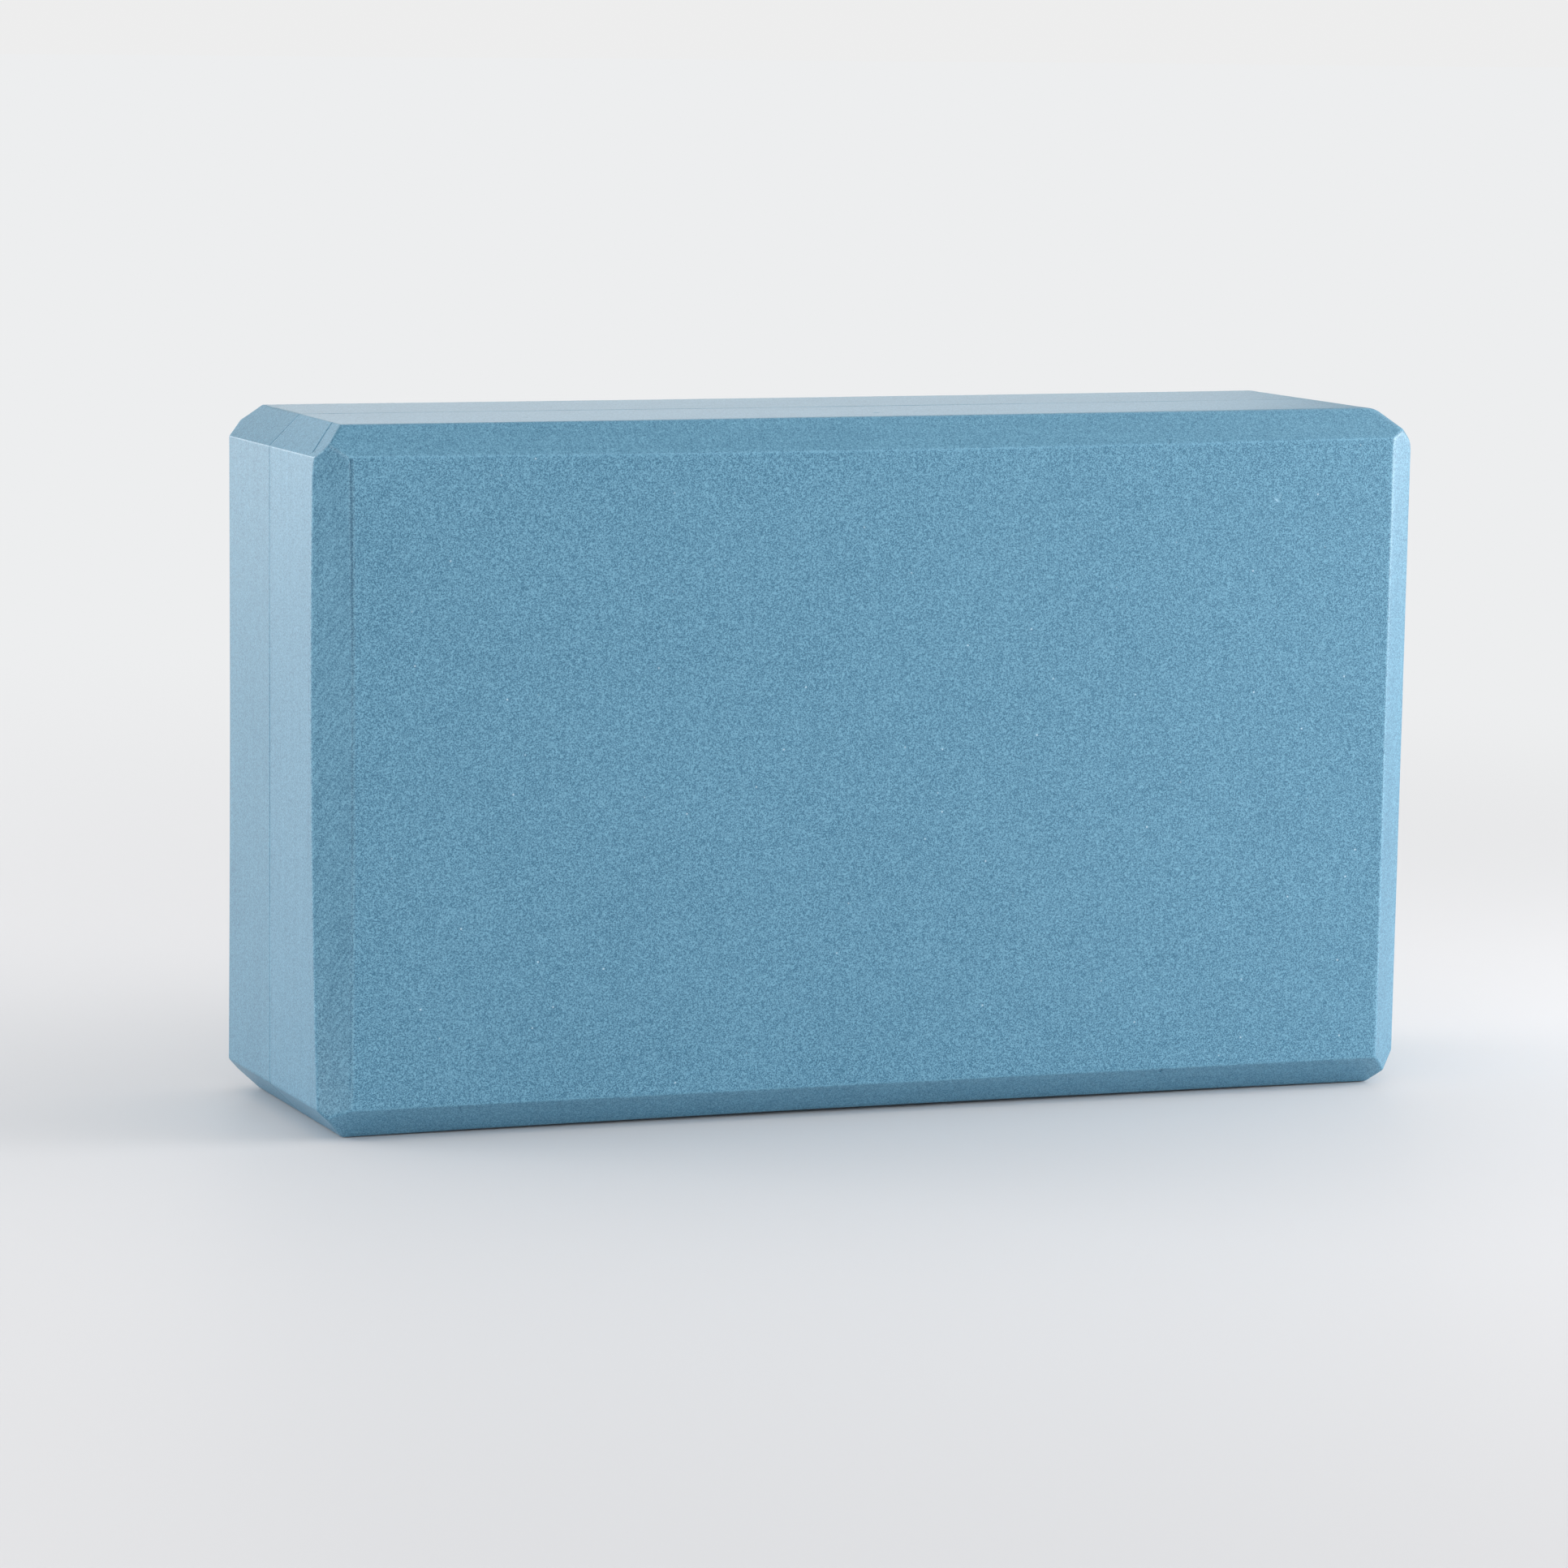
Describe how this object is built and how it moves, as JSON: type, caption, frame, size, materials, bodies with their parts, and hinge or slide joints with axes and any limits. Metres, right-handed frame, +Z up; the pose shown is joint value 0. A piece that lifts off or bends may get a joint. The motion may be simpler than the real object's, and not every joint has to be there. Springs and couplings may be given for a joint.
{
  "type": "foam yoga block",
  "caption": "Rectangular foam exercise block with bevelled edges, bonded from foam sheets, standing on a long narrow side.",
  "frame": {"origin": "middle of the long narrow side that the block stands on", "axes": "+X along the length, +Y from the front face through the thickness to the rear face, +Z up across the width of the broad face"},
  "size_m": [0.23, 0.072, 0.138],
  "materials": {
    "foam_front": "matte closed-cell EVA foam in light blue, with a fine even grain and a soft sheen at a flat angle; knife-cut bevels are a little coarser",
    "foam_rear": "the same matte light blue closed-cell EVA foam, from a sheet of a slightly deeper shade"
  },
  "bodies": {
    "root": {"front_sheet": "foam_front", "rear_sheet": "foam_rear"}
  },
  "joints": []
}
